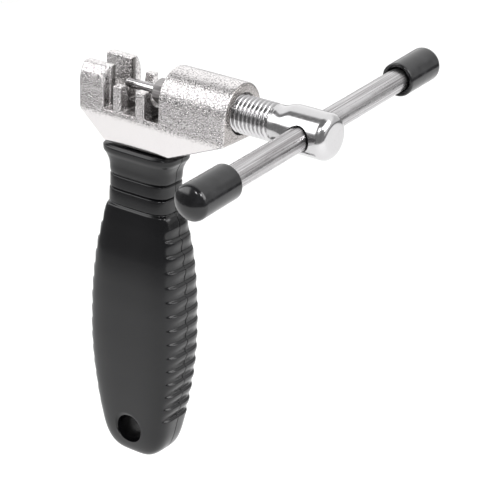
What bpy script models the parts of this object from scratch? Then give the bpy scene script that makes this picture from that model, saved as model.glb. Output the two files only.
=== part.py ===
"""Bicycle chain tool: cast head, two-shell handle, threaded spindle and sliding tommy bar.

Metres, +Z up. +X runs along the spindle, out of its head. The origin is the centre of the
spindle head's flat end face. The handle hangs towards -Z.
"""

import math

import bmesh
import bpy
from mathutils import Matrix, Vector

MM = 0.001

# Spindle, measured back from the flat end face of its head.
HEAD_LENGTH = 13.0 * MM
HEAD_RADIUS = 6.05 * MM
HEAD_ROUNDING = 2.4 * MM
BARREL_FACE = -27.5 * MM
THREAD_RADIUS = 5.0 * MM
THREAD_DEPTH = 0.68 * MM
THREAD_PITCH = 1.25 * MM
THREAD_START = BARREL_FACE - 17.5 * MM
THREAD_END = BARREL_FACE + 10.8 * MM
NECK_RADIUS = 4.95 * MM
FLARE_LENGTH = 3.2 * MM
NOSE_RADIUS = 3.5 * MM
NOSE_END = BARREL_FACE - 23.3 * MM
SOCKET_RADIUS = 2.5 * MM
SOCKET_END = BARREL_FACE - 16.0 * MM
THREAD_SEGMENTS = 18
THREAD_ROWS = 3

# Replaceable driving pin and its hexagonal holder.
HEX_ACROSS_FLATS = 6.0 * MM
HEX_TURN = math.radians(14.0)
HEX_TIP = BARREL_FACE - 26.8 * MM
HEX_END = BARREL_FACE - 23.6 * MM
SHANK_RADIUS = 2.2 * MM
SHANK_END = BARREL_FACE - 16.6 * MM
PIN_RADIUS = 1.3 * MM
PIN_TIP = BARREL_FACE - 37.0 * MM
PIN_END = BARREL_FACE - 20.3 * MM
PIN_BORE_RADIUS = 1.4 * MM
PIN_BORE_END = BARREL_FACE - 20.0 * MM

# Tommy bar, which slides through the spindle head, and its two soft caps.
BAR_X = -7.35 * MM
BAR_TILT = math.radians(3.6)
BAR_RADIUS = 3.1 * MM
BAR_HOLE_RADIUS = 3.45 * MM
BAR_NEAR = -51.2 * MM
BAR_FAR = 57.6 * MM
CAP_RADIUS = 4.65 * MM
CAP_BORE_RADIUS = 3.3 * MM
CAP_LENGTH = 16.4 * MM
CAP_END_WALL = 1.6 * MM
CAP_GAP = 0.3 * MM
CAP_CROWN_RADIUS = 6.4 * MM
CAP_EDGE_RADIUS = 1.9 * MM

# Cast body. Lengths along X are measured back from the barrel's open face.
BODY_LENGTH = 47.0 * MM
BODY_HALF_WIDTH = 8.1 * MM
RIDGE_Z = -7.1 * MM
KEEL_Z = -15.9 * MM
KEEL_HALF_WIDTH = 5.3 * MM
KEEL_LEFT = BARREL_FACE - 40.7 * MM
KEEL_RIGHT = BARREL_FACE - 20.0 * MM
CAST_ROUNDING = 0.55 * MM
BORE_RADIUS = 5.1 * MM
BORE_MOUTH_RADIUS = 5.6 * MM
BORE_MOUTH_DEPTH = 0.7 * MM
ANVIL_INNER = BARREL_FACE - 38.3 * MM
BARREL_INNER = BARREL_FACE - 20.8 * MM
SLOTS = ((-38.3 * MM, -35.7 * MM), (-33.1 * MM, -28.3 * MM), (-25.4 * MM, -20.8 * MM))
SLOT_FLOOR_Z = -5.5 * MM
RIB_TOP_Z = 1.5 * MM
ROLLER_NOTCH_RADIUS = 5.65 * MM
ROLLER_NOTCH_Z = 1.45 * MM
ANVIL_TOP_Z = 5.4 * MM
ANVIL_SLOT_HALF_WIDTH = 3.3 * MM
ANVIL_PAD_HALF_WIDTH = 5.4 * MM
ANVIL_PAD_STEP = 0.5 * MM
TANG_X = (BARREL_FACE - 36.6 * MM, BARREL_FACE - 24.6 * MM)
TANG_HALF_WIDTH = 2.2 * MM
TANG_BOTTOM_Z = -58.0 * MM

# Handle, two moulded shells that meet on the plane Y = 0.
HANDLE_X = BARREL_FACE - 30.6 * MM
SEAM_GAP = 0.3 * MM
RING_POINTS = 28
SHELL_WALL = 2.6 * MM
HANG_HOLE_Z = -99.0 * MM
HANG_HOLE_RADIUS = 4.0 * MM
HANG_BOSS_RADIUS = 6.4 * MM
BOSS_RADIUS = 2.3 * MM
BOSS_HOLE_RADIUS = 2.6 * MM
BOSS_HEIGHTS = (-30.0 * MM, -50.0 * MM)
GRIP_TOP_Z = -36.0 * MM
GRIP_PITCH = 4.15 * MM
GRIP_GROOVES = 14
GRIP_DEPTH = 0.7 * MM

# Height, width along X and depth along Y of the handle's outline, top to bottom.
OUTLINE = (
    (-16.3, 22.4, 12.4),
    (-16.9, 23.4, 13.4),
    (-17.9, 23.3, 13.3),
    (-19.4, 21.6, 12.2),
    (-21.4, 20.0, 11.4),
    (-24.1, 19.4, 11.0),
    (-24.5, 18.5, 10.1),
    (-24.9, 19.5, 11.1),
    (-28.0, 19.5, 11.2),
    (-28.4, 18.6, 10.3),
    (-28.8, 19.7, 11.4),
    (-32.3, 19.9, 11.6),
    (-32.8, 19.2, 10.9),
    (-33.4, 20.8, 12.0),
    (-36.0, 22.6, 13.0),
    (-40.0, 24.4, 14.0),
    (-47.0, 27.0, 15.6),
    (-55.0, 28.6, 16.6),
    (-62.0, 29.4, 17.0),
    (-70.0, 29.6, 17.0),
    (-77.0, 29.0, 16.7),
    (-82.0, 28.1, 16.2),
    (-87.0, 26.7, 15.6),
    (-92.0, 25.2, 14.8),
    (-96.5, 23.2, 14.0),
    (-100.5, 21.2, 13.2),
    (-103.5, 18.6, 12.2),
    (-105.6, 15.0, 10.8),
    (-107.0, 10.4, 8.2),
    (-107.6, 5.0, 4.0),
)

# Outline of the hollow inside the shells.
HOLLOW = (
    (-62.0, 20.0, 9.0),
    (-66.0, 23.4, 11.8),
    (-78.0, 22.8, 11.4),
    (-86.0, 20.6, 10.2),
    (-90.0, 16.0, 7.0),
)


def clear_scene() -> None:
    """Removes every object of the start-up scene."""
    for obj in list(bpy.data.objects):
        bpy.data.objects.remove(obj, do_unlink=True)


def material(name: str, colour: tuple, metallic: float, roughness: float):
    """Returns a Principled material with one colour."""
    made = bpy.data.materials.new(name)
    made.use_nodes = True
    shader = made.node_tree.nodes["Principled BSDF"]
    shader.inputs["Base Color"].default_value = (*colour, 1.0)
    shader.inputs["Metallic"].default_value = metallic
    shader.inputs["Roughness"].default_value = roughness
    made.diffuse_color = (*colour, 1.0)
    made.metallic = metallic
    made.roughness = roughness
    return made


def mesh_object(name: str, points: list, faces: list, finish=None):
    """Returns a new mesh object with its normals facing out."""
    mesh = bpy.data.meshes.new(name)
    mesh.from_pydata(points, [], faces)
    work = bmesh.new()
    work.from_mesh(mesh)
    bmesh.ops.recalc_face_normals(work, faces=work.faces)
    work.to_mesh(mesh)
    work.free()
    obj = bpy.data.objects.new(name, mesh)
    bpy.context.scene.collection.objects.link(obj)
    if finish:
        mesh.materials.append(finish)
    return obj


def smooth(obj, degrees: float = 32.0) -> None:
    """Shades an object smooth, with edges over this angle left sharp."""
    obj.data.shade_smooth()
    obj.data.set_sharp_from_angle(angle=math.radians(degrees))


def as_cutter(obj):
    """Marks an object as a helper that is not part of the model."""
    obj.hide_render = True
    obj.display_type = "WIRE"
    return obj


def boolean(obj, other, operation: str = "DIFFERENCE") -> None:
    """Adds an exact Boolean of one object with another, which becomes a helper."""
    step = obj.modifiers.new(other.name, "BOOLEAN")
    step.operation = operation
    step.solver = "EXACT"
    step.object = as_cutter(other)


def bevel(obj, width: float, segments: int = 2, degrees: float = 35.0) -> None:
    """Adds a rounding to every edge sharper than this angle."""
    step = obj.modifiers.new("rounding", "BEVEL")
    step.width = width
    step.segments = segments
    step.limit_method = "ANGLE"
    step.angle_limit = math.radians(degrees)


def box(name: str, low: tuple, high: tuple, finish=None):
    """Returns a box between two corners."""
    points = [(x, y, z) for x in (low[0], high[0]) for y in (low[1], high[1]) for z in (low[2], high[2])]
    faces = [(0, 1, 3, 2), (4, 6, 7, 5), (0, 4, 5, 1), (2, 3, 7, 6), (0, 2, 6, 4), (1, 5, 7, 3)]
    return mesh_object(name, points, faces, finish)


def loft(name: str, rings: list, finish=None):
    """Returns a closed solid through rings of equal point count, its two ends filled flat."""
    count = len(rings[0])
    points = [point for ring in rings for point in ring]
    faces = []
    for row in range(len(rings) - 1):
        for column in range(count):
            a = row * count + column
            b = row * count + (column + 1) % count
            faces.append((a, b, b + count, a + count))
    faces.append(tuple(range(count)))
    faces.append(tuple(range(len(points) - count, len(points))))
    return mesh_object(name, points, faces, finish)


def turned(name: str, profile: list, segments: int, finish=None, phase: float = 0.0):
    """Returns a solid turned about X from (x, radius) pairs."""
    rings = []
    for x, radius in profile:
        ring = []
        for step in range(segments):
            angle = phase + 2 * math.pi * step / segments
            ring.append((x, radius * math.cos(angle), radius * math.sin(angle)))
        rings.append(ring)
    return loft(name, rings, finish)


def along_bar(obj) -> None:
    """Turns an object built along X onto the tommy bar's axis."""
    turn = Matrix.Rotation(BAR_TILT, 4, "X") @ Matrix.Rotation(math.pi / 2, 4, "Z")
    obj.matrix_world = Matrix.Translation(Vector((BAR_X, 0, 0))) @ turn


def along_y(name: str, x: float, z: float, radius: float, low: float, high: float, segments: int = 24):
    """Returns a cylinder along Y."""
    obj = turned(name, [(low, radius), (high, radius)], segments)
    obj.matrix_world = Matrix.Translation(Vector((x, 0, z))) @ Matrix.Rotation(math.pi / 2, 4, "Z")
    return obj


def body_blank(finish):
    """Returns the casting before machining: round top, flat sides and a tapered keel."""
    left = BARREL_FACE - BODY_LENGTH
    right = BARREL_FACE
    steps = 20
    section = []
    for step in range(steps + 1):
        angle = math.pi * step / steps
        section.append((BODY_HALF_WIDTH * math.cos(angle), BODY_HALF_WIDTH * math.sin(angle)))
    section = [(BODY_HALF_WIDTH, RIDGE_Z)] + section + [(-BODY_HALF_WIDTH, RIDGE_Z)]
    count = len(section)
    points = [(x, y, z) for x in (left, right) for y, z in section]
    points += [(x, y, KEEL_Z) for x in (KEEL_LEFT, KEEL_RIGHT) for y in (KEEL_HALF_WIDTH, -KEEL_HALF_WIDTH)]
    faces = [(i, i + 1, count + i + 1, count + i) for i in range(count - 1)]
    faces.append(tuple(range(count)))
    faces.append(tuple(range(count, 2 * count)))
    keel = 2 * count
    last = count - 1
    faces.append((0, count, keel + 2, keel))
    faces.append((last, count + last, keel + 3, keel + 1))
    faces.append((0, last, keel + 1, keel))
    faces.append((count, count + last, keel + 3, keel + 2))
    faces.append((keel, keel + 1, keel + 3, keel + 2))
    return mesh_object("tool_body", points, faces, finish)


def tool_body(finish):
    """Builds the casting: anvil posts, two roller ribs, threaded barrel, keel and hidden tang."""
    body = body_blank(finish)
    bevel(body, CAST_ROUNDING)
    far = 20.0 * MM
    tang = box("tang_blank", (TANG_X[0], -TANG_HALF_WIDTH, TANG_BOTTOM_Z), (TANG_X[1], TANG_HALF_WIDTH, -14.0 * MM))
    boolean(body, tang, "UNION")
    opening = box("chain_bay", (ANVIL_INNER, -far, RIB_TOP_Z), (BARREL_INNER, far, far))
    boolean(body, opening)
    for index, (low, high) in enumerate(SLOTS):
        slot = box(f"plate_slot_{index}", (BARREL_FACE + low, -far, SLOT_FLOOR_Z), (BARREL_FACE + high, far, far))
        boolean(body, slot)
    for side in (-1, 1):
        edges = (side * ANVIL_PAD_HALF_WIDTH, side * far)
        step = box(
            f"anvil_step_{side}",
            (ANVIL_INNER - ANVIL_PAD_STEP, min(edges), SLOT_FLOOR_Z),
            (ANVIL_INNER + 1.0 * MM, max(edges), far),
        )
        boolean(body, step)
    top = box("anvil_top", (BARREL_FACE - 0.1, -far, ANVIL_TOP_Z), (ANVIL_INNER + 1.0 * MM, far, far))
    boolean(body, top)
    notch = turned(
        "roller_notch",
        [(ANVIL_INNER, ROLLER_NOTCH_RADIUS), (BARREL_INNER, ROLLER_NOTCH_RADIUS)],
        28,
    )
    notch.location.z = ROLLER_NOTCH_Z
    boolean(body, notch)
    anvil_low = BARREL_FACE - BODY_LENGTH - 2.0 * MM
    trough = turned("anvil_trough", [(anvil_low, ANVIL_SLOT_HALF_WIDTH), (ANVIL_INNER + 1.0 * MM, ANVIL_SLOT_HALF_WIDTH)], 24)
    boolean(body, trough)
    mouth = box(
        "anvil_slot",
        (anvil_low, -ANVIL_SLOT_HALF_WIDTH, 0.0),
        (ANVIL_INNER + 1.0 * MM, ANVIL_SLOT_HALF_WIDTH, far),
    )
    boolean(body, mouth)
    bore = turned(
        "barrel_bore",
        [
            (BARREL_INNER - 1.0 * MM, BORE_RADIUS),
            (BARREL_FACE - BORE_MOUTH_DEPTH, BORE_RADIUS),
            (BARREL_FACE, BORE_MOUTH_RADIUS),
            (BARREL_FACE + 1.0 * MM, BORE_MOUTH_RADIUS),
        ],
        32,
    )
    boolean(body, bore)
    for index, height in enumerate(BOSS_HEIGHTS):
        hole = along_y(f"tang_hole_{index}", HANDLE_X, height, BOSS_HOLE_RADIUS, -far, far, 20)
        boolean(body, hole)
    smooth(body)
    return body


def outline_at(height: float, table: tuple) -> tuple:
    """Returns the outline's width and depth at a height."""
    for (z0, w0, d0), (z1, w1, d1) in zip(table, table[1:]):
        if z1 * MM <= height <= z0 * MM:
            share = (z0 * MM - height) / ((z0 - z1) * MM)
            return (w0 + share * (w1 - w0)) * MM, (d0 + share * (d1 - d0)) * MM
    return table[-1][1] * MM, table[-1][2] * MM


def handle_ring(height: float, width: float, depth: float, groove: float = 0.0) -> list:
    """Returns one rounded-rectangle ring. A groove pulls in its two narrow sides only."""
    ring = []
    power = 0.5
    for step in range(RING_POINTS):
        angle = 2 * math.pi * (step + 0.5) / RING_POINTS
        across = math.copysign(abs(math.cos(angle)) ** power, math.cos(angle))
        deep = math.copysign(abs(math.sin(angle)) ** power, math.sin(angle))
        side = max(0.0, min(1.0, (abs(across) - 0.90) / 0.06))
        half = width / 2 - groove * side
        ring.append((HANDLE_X + across * half, deep * depth / 2, height))
    return ring


def handle_blank(name: str, finish=None):
    """Returns the whole handle's outer form with its neck rings and side grip grooves."""
    grip_end = GRIP_TOP_Z - GRIP_PITCH * GRIP_GROOVES
    heights = {z * MM: 0.0 for z, _, _ in OUTLINE if z * MM >= GRIP_TOP_Z or z * MM < grip_end}
    for index in range(GRIP_GROOVES):
        top = GRIP_TOP_Z - GRIP_PITCH * index
        heights[top - 0.30 * GRIP_PITCH] = 0.0
        heights[top - 0.62 * GRIP_PITCH] = GRIP_DEPTH
        heights[top - 0.78 * GRIP_PITCH] = GRIP_DEPTH * 0.9
    rings = []
    for height in sorted(heights, reverse=True):
        width, depth = outline_at(height, OUTLINE)
        rings.append(handle_ring(height, width, depth, heights[height]))
    return loft(name, rings, finish)


def handle_shell(name: str, side: int, finish):
    """Builds one moulded half of the handle. side is -1 for the front and 1 for the back."""
    shell = handle_blank(name, finish)
    far = 40.0 * MM
    seam = side * SEAM_GAP / 2
    away = box(
        name + "_other_half",
        (HANDLE_X - far, min(seam, -side * far), -0.12),
        (HANDLE_X + far, max(seam, -side * far), 0.0),
    )
    boolean(shell, away)
    rings = []
    for z, width, depth in HOLLOW:
        rings.append(handle_ring(z * MM, width * MM, depth * MM))
    boolean(shell, loft(name + "_hollow", rings))
    gap = 0.3 * MM
    pocket = box(
        name + "_tang_pocket",
        (TANG_X[0] - gap, -TANG_HALF_WIDTH - gap, -64.0 * MM),
        (TANG_X[1] + gap, TANG_HALF_WIDTH + gap, 0.0),
    )
    boolean(shell, pocket)
    for index, height in enumerate(BOSS_HEIGHTS):
        inner = side * SEAM_GAP / 2
        outer = side * (TANG_HALF_WIDTH + 1.0 * MM)
        boss = along_y(f"{name}_boss_{index}", HANDLE_X, height, BOSS_RADIUS, min(inner, outer), max(inner, outer), 20)
        boolean(shell, boss, "UNION")
    hole = along_y(name + "_hang_hole", HANDLE_X, HANG_HOLE_Z, HANG_HOLE_RADIUS, -far, far, 28)
    boolean(shell, hole)
    smooth(shell, 40.0)
    return shell


def thread_rows() -> list:
    """Returns the heights along X of the thread's rows."""
    count = round((THREAD_END - THREAD_START) / THREAD_PITCH * THREAD_ROWS)
    step = (THREAD_END - THREAD_START) / count
    return [THREAD_START + step * row for row in range(count + 1)]


def thread_radius(x: float, angle: float) -> float:
    """Returns the right-hand thread's radius at a point, fading in and out at its ends."""
    turn = (x / THREAD_PITCH - angle / (2 * math.pi)) % 1.0
    crest = abs(2 * turn - 1)
    fade = min(1.0, (x - THREAD_START) / THREAD_PITCH, (THREAD_END - x) / THREAD_PITCH)
    return THREAD_RADIUS - THREAD_DEPTH * (1 - crest * max(fade, 0.0))


def spindle(finish):
    """Builds the spindle in one piece: nose with socket, thread, neck and cross-drilled head."""
    root = THREAD_RADIUS - THREAD_DEPTH
    rings = []

    def plain(x: float, radius: float) -> None:
        ring = []
        for step in range(THREAD_SEGMENTS):
            angle = 2 * math.pi * step / THREAD_SEGMENTS
            ring.append((x, radius * math.cos(angle), radius * math.sin(angle)))
        rings.append(ring)

    plain(NOSE_END, NOSE_RADIUS - 0.3 * MM)
    plain(NOSE_END + 0.3 * MM, NOSE_RADIUS)
    plain(THREAD_START - 1.0 * MM, NOSE_RADIUS)
    for x in thread_rows():
        ring = []
        for step in range(THREAD_SEGMENTS):
            angle = 2 * math.pi * step / THREAD_SEGMENTS
            radius = thread_radius(x, angle)
            ring.append((x, radius * math.cos(angle), radius * math.sin(angle)))
        rings.append(ring)
    plain(THREAD_END + 0.3 * MM, NECK_RADIUS)
    plain(-HEAD_LENGTH - 1.0 * MM, NECK_RADIUS)
    rod = loft("spindle", rings, finish)
    head = turned(
        "spindle_head",
        [
            (-HEAD_LENGTH - FLARE_LENGTH, NECK_RADIUS - 0.2 * MM),
            (-HEAD_LENGTH - 0.6 * MM, HEAD_RADIUS - 0.12 * MM),
            (-HEAD_LENGTH, HEAD_RADIUS),
            *[
                (
                    HEAD_ROUNDING * (math.sin(math.radians(15 * step)) - 1),
                    HEAD_RADIUS - HEAD_ROUNDING * (1 - math.cos(math.radians(15 * step))),
                )
                for step in range(7)
            ],
        ],
        32,
    )
    boolean(rod, head, "UNION")
    cross = turned("cross_hole", [(-0.02, BAR_HOLE_RADIUS), (0.02, BAR_HOLE_RADIUS)], 32)
    along_bar(cross)
    boolean(rod, cross)
    socket = turned("pin_socket", [(NOSE_END - 1.0 * MM, SOCKET_RADIUS), (SOCKET_END, SOCKET_RADIUS)], 16)
    boolean(rod, socket)
    smooth(rod, 50.0)
    return rod


def pin_holder(finish):
    """Builds the hexagonal holder whose shank screws into the spindle's nose."""
    corner = HEX_ACROSS_FLATS / math.sqrt(3)
    holder = turned(
        "pin_holder",
        [
            (HEX_TIP, corner * 0.9),
            (HEX_TIP + 0.25 * MM, corner),
            (HEX_END - 0.25 * MM, corner),
            (HEX_END, corner * 0.9),
        ],
        6,
        finish,
        math.pi / 6 - HEX_TURN,
    )
    shank = turned("holder_shank", [(HEX_END - 1.0 * MM, SHANK_RADIUS), (SHANK_END, SHANK_RADIUS)], 16)
    boolean(holder, shank, "UNION")
    bore = turned("holder_bore", [(HEX_TIP - 1.0 * MM, PIN_BORE_RADIUS), (PIN_BORE_END, PIN_BORE_RADIUS)], 16)
    boolean(holder, bore)
    return holder


def drive_pin(finish):
    """Builds the hardened pin that pushes the chain's rivet."""
    chamfer = 0.25 * MM
    pin = turned(
        "drive_pin",
        [
            (PIN_TIP, PIN_RADIUS - chamfer),
            (PIN_TIP + chamfer, PIN_RADIUS),
            (PIN_END - chamfer, PIN_RADIUS),
            (PIN_END, PIN_RADIUS - chamfer),
        ],
        16,
        finish,
    )
    smooth(pin)
    return pin


def tommy_bar(finish):
    """Builds the bar that slides through the head. Its local X is its own length."""
    end = CAP_END_WALL + CAP_GAP
    chamfer = 0.4 * MM
    bar = turned(
        "tommy_bar",
        [
            (BAR_NEAR + end, BAR_RADIUS - chamfer),
            (BAR_NEAR + end + chamfer, BAR_RADIUS),
            (BAR_FAR - end - chamfer, BAR_RADIUS),
            (BAR_FAR - end, BAR_RADIUS - chamfer),
        ],
        24,
        finish,
    )
    along_bar(bar)
    smooth(bar)
    return bar


def bar_cap(name: str, end: float, inward: int, finish):
    """Builds one dipped cap: domed end, straight wall and a thin rolled lip."""
    spread = CAP_CROWN_RADIUS - CAP_EDGE_RADIUS
    meet = math.asin((CAP_RADIUS - CAP_EDGE_RADIUS) / spread)
    profile = []
    for degrees in (6, 14, 22, 30):
        angle = math.radians(degrees)
        profile.append((CAP_CROWN_RADIUS * (1 - math.cos(angle)), CAP_CROWN_RADIUS * math.sin(angle)))
    for step in range(5):
        angle = meet + (math.pi / 2 - meet) * step / 4
        away = CAP_CROWN_RADIUS - spread * math.cos(meet) - CAP_EDGE_RADIUS * math.cos(angle)
        profile.append((away, CAP_RADIUS - CAP_EDGE_RADIUS + CAP_EDGE_RADIUS * math.sin(angle)))
    profile += [(CAP_LENGTH - 0.5 * MM, CAP_RADIUS), (CAP_LENGTH, CAP_RADIUS - 0.4 * MM)]
    if inward < 0:
        profile = profile[::-1]
    cap = turned(name, [(end + inward * away, radius) for away, radius in profile], 24, finish)
    along_bar(cap)
    mouth = end + inward * (CAP_LENGTH + 1.0 * MM)
    floor = end + inward * CAP_END_WALL
    bore = turned(name + "_bore", [(min(mouth, floor), CAP_BORE_RADIUS), (max(mouth, floor), CAP_BORE_RADIUS)], 24)
    along_bar(bore)
    boolean(cap, bore)
    smooth(cap)
    return cap


def build() -> None:
    """Builds every piece of the tool."""
    clear_scene()
    tool_body(material("cast_plated", (0.72, 0.71, 0.69), 1.0, 0.38))
    moulded = (0.02, 0.02, 0.022)
    handle_shell("handle_front", -1, material("front_plastic", moulded, 0.0, 0.42))
    handle_shell("handle_back", 1, material("back_plastic", moulded, 0.0, 0.42))
    spindle(material("spindle_steel", (0.68, 0.68, 0.69), 1.0, 0.22))
    pin_holder(material("holder_steel", (0.60, 0.60, 0.62), 1.0, 0.30))
    drive_pin(material("pin_steel", (0.55, 0.55, 0.57), 1.0, 0.25))
    tommy_bar(material("bar_steel", (0.66, 0.65, 0.65), 1.0, 0.26))
    vinyl = (0.012, 0.012, 0.013)
    bar_cap("bar_cap_near", BAR_NEAR, 1, material("near_vinyl", vinyl, 0.0, 0.25))
    bar_cap("bar_cap_far", BAR_FAR, -1, material("far_vinyl", vinyl, 0.0, 0.25))


build()
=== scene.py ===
"""Looks of a hand chain tool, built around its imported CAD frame.

Metres, +Z up. +X runs along the spindle and out of its head, and the origin is the centre of
the head's flat end face. The handle hangs towards -Z, and +Y is the back.
"""

import logging
import math
from dataclasses import dataclass
from enum import Enum

import bmesh
import bpy
import numpy as np
from mathutils import Matrix, Vector, noise


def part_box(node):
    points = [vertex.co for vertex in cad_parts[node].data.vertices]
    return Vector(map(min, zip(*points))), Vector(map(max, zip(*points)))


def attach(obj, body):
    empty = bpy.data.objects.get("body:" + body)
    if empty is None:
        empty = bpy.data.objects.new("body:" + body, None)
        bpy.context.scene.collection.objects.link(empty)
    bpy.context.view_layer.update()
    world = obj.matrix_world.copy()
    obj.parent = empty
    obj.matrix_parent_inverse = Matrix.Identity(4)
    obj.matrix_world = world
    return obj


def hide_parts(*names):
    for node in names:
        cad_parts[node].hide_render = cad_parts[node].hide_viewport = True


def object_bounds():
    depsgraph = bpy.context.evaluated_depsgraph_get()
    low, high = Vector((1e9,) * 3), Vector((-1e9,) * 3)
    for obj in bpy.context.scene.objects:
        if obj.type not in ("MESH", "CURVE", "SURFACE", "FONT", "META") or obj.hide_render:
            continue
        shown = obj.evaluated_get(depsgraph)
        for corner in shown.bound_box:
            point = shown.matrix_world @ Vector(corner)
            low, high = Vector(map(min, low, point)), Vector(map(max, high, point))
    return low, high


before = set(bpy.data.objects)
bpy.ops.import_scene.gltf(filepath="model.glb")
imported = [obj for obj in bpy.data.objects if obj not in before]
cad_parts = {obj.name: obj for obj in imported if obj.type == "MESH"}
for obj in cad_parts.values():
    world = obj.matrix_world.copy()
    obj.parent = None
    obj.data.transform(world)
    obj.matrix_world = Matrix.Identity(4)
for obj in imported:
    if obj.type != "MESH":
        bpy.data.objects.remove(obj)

LOG = logging.getLogger("chain_tool")
MM = 0.001
FAR = 20.0 * MM  # past every side of the head, for cutters
RIDGE_Z = -7.1 * MM  # where the casting's upright flanks turn in to its keel
BAR_X = -7.35 * MM  # where the bar crosses the spindle's axis
BAR_TILT = math.radians(3.6)  # how far the bar's back end is raised
# node settings that many patterns share
EASED = {"interpolation_type": "SMOOTHSTEP"}
TIMES = {"operation": "MULTIPLY"}
COLOURS = {"data_type": "RGBA"}
CAD_BOX = [[float(value) for value in corner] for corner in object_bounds()]


class Body(Enum):
    """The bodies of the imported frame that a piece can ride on."""

    FRAME = "frame"
    PIN = "pin_carriage"
    SCREW = "screw"
    BAR = "bar"


class Cut(Enum):
    """What a second solid does to the first."""

    AWAY = "DIFFERENCE"
    JOIN = "UNION"
    SHARED = "INTERSECT"


# ---------------------------------------------------------------------------- mesh tools


def mesh_object(name: str, points: np.ndarray, faces: list) -> bpy.types.Object:
    """Makes a mesh object whose faces all look outwards.

    Args:
        name: the object's name.
        points: its corners, in metres.
        faces: each face's corner numbers.

    Returns:
        The new object, linked to the scene.
    """
    mesh = bpy.data.meshes.new(name)
    mesh.from_pydata(np.asarray(points, float).tolist(), [], faces)
    work = bmesh.new()
    work.from_mesh(mesh)
    bmesh.ops.recalc_face_normals(work, faces=work.faces)
    work.to_mesh(mesh)
    work.free()
    obj = bpy.data.objects.new(name, mesh)
    bpy.context.scene.collection.objects.link(obj)
    return obj


def loft(name: str, rings: np.ndarray) -> bpy.types.Object:
    """Makes a closed solid through rings of points.

    Args:
        name: the object's name.
        rings: points as rows of rings, shape (rings, points, 3).

    Returns:
        The solid, its two ends closed by flat faces.
    """
    rows, count = rings.shape[:2]
    index = np.arange(rows * count).reshape(rows, count)
    after = np.roll(index, -1, axis=1)
    sides = np.stack([index[:-1], after[:-1], after[1:], index[1:]], axis=-1).reshape(-1, 4)
    faces = sides.tolist() + [index[0].tolist(), index[-1].tolist()]
    return mesh_object(name, rings.reshape(-1, 3), faces)


def turned(name: str, profile: list, segments: int, turn: float = 0.0) -> bpy.types.Object:
    """Makes a solid of revolution about X.

    Args:
        name: the object's name.
        profile: (x, radius) pairs from one end to the other.
        segments: how many flats go round it.
        turn: the angle of its first corner, in radians.

    Returns:
        The solid.
    """
    angle = turn + np.linspace(0, 2 * np.pi, segments, endpoint=False)
    x, radius = np.array(profile).T
    rings = np.empty((len(x), segments, 3))
    rings[..., 0] = x[:, None]
    rings[..., 1] = radius[:, None] * np.cos(angle)
    rings[..., 2] = radius[:, None] * np.sin(angle)
    return loft(name, rings)


def corner(x: float, radius: float, size: float, first: float, last: float, steps: int = 5) -> list:
    """Gives the points of a rounded corner in a turned profile.

    Args:
        x: the arc centre's place along the axis.
        radius: the arc centre's distance from the axis.
        size: the arc's own radius.
        first: its first angle from +X, in degrees.
        last: its last angle, in degrees.
        steps: how many chords it has.

    Returns:
        (x, radius) pairs along the arc.
    """
    angles = np.radians(np.linspace(first, last, steps + 1))
    return [(x + size * math.cos(a), radius + size * math.sin(a)) for a in angles]


def block(name: str, low: tuple, high: tuple) -> bpy.types.Object:
    """Makes a block between two corners, for cutting.

    Args:
        name: the object's name.
        low: its lowest corner.
        high: its highest corner.

    Returns:
        The block.
    """
    points = [(x, y, z) for x in (low[0], high[0]) for y in (low[1], high[1]) for z in (low[2], high[2])]
    faces = [(0, 1, 3, 2), (4, 6, 7, 5), (0, 4, 5, 1), (2, 3, 7, 6), (0, 2, 6, 4), (1, 5, 7, 3)]
    return mesh_object(name, np.array(points), faces)


def across(obj: bpy.types.Object, x: float, z: float) -> bpy.types.Object:
    """Turns a solid made about X so that it runs along Y.

    Args:
        obj: the solid.
        x: where its axis crosses the plane of the handle.
        z: its height there.

    Returns:
        The same solid, moved.
    """
    obj.data.transform(Matrix.Translation((x, 0, z)) @ Matrix.Rotation(math.pi / 2, 4, "Z"))
    return obj


def settle(obj: bpy.types.Object) -> None:
    """Writes an object's modifiers into its mesh.

    Args:
        obj: the object.
    """
    bpy.context.view_layer.update()
    graph = bpy.context.evaluated_depsgraph_get()
    mesh = bpy.data.meshes.new_from_object(obj.evaluated_get(graph), depsgraph=graph)
    obj.modifiers.clear()
    before = obj.data
    obj.data = mesh
    bpy.data.meshes.remove(before)


def combine(obj: bpy.types.Object, other: bpy.types.Object, how: Cut = Cut.AWAY) -> None:
    """Cuts one solid with another, or joins them, and removes the other.

    Args:
        obj: the solid that is kept.
        other: the solid that is used up.
        how: whether it is cut away, joined, or bounds what stays.
    """
    step = obj.modifiers.new("combine", "BOOLEAN")
    step.operation = how.value
    step.solver = "MANIFOLD"
    step.object = other
    settle(obj)
    bpy.data.objects.remove(other, do_unlink=True)


def place(obj: bpy.types.Object, body: Body, node: str, finish: "Finish", edge: float = 35.0) -> None:
    """Dresses a finished piece and puts it on its body in place of its CAD node.

    Args:
        obj: the piece.
        body: the body that it rides on.
        node: the CAD node that it stands for.
        finish: its finish.
        edge: the angle over which an edge stays sharp, in degrees.
    """
    obj.data.materials.clear()
    obj.data.materials.append(finish.material())
    obj.data.shade_smooth()
    obj.data.set_sharp_from_angle(angle=math.radians(edge))
    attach(obj, body.value)
    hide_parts(node)
    LOG.info("%s: %d faces, rides on %s, finish %s", obj.name, len(obj.data.polygons), body.value, finish.name)


# ---------------------------------------------------------------------------- finishes


def linear(code: str) -> tuple:
    """Turns an sRGB hex colour into a linear one.

    Args:
        code: six hex digits.

    Returns:
        Linear red, green and blue, and an alpha of one.
    """
    parts = [int(code[at : at + 2], 16) / 255 for at in (0, 2, 4)]
    return (*[p / 12.92 if p <= 0.04045 else ((p + 0.055) / 1.055) ** 2.4 for p in parts], 1.0)


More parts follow.
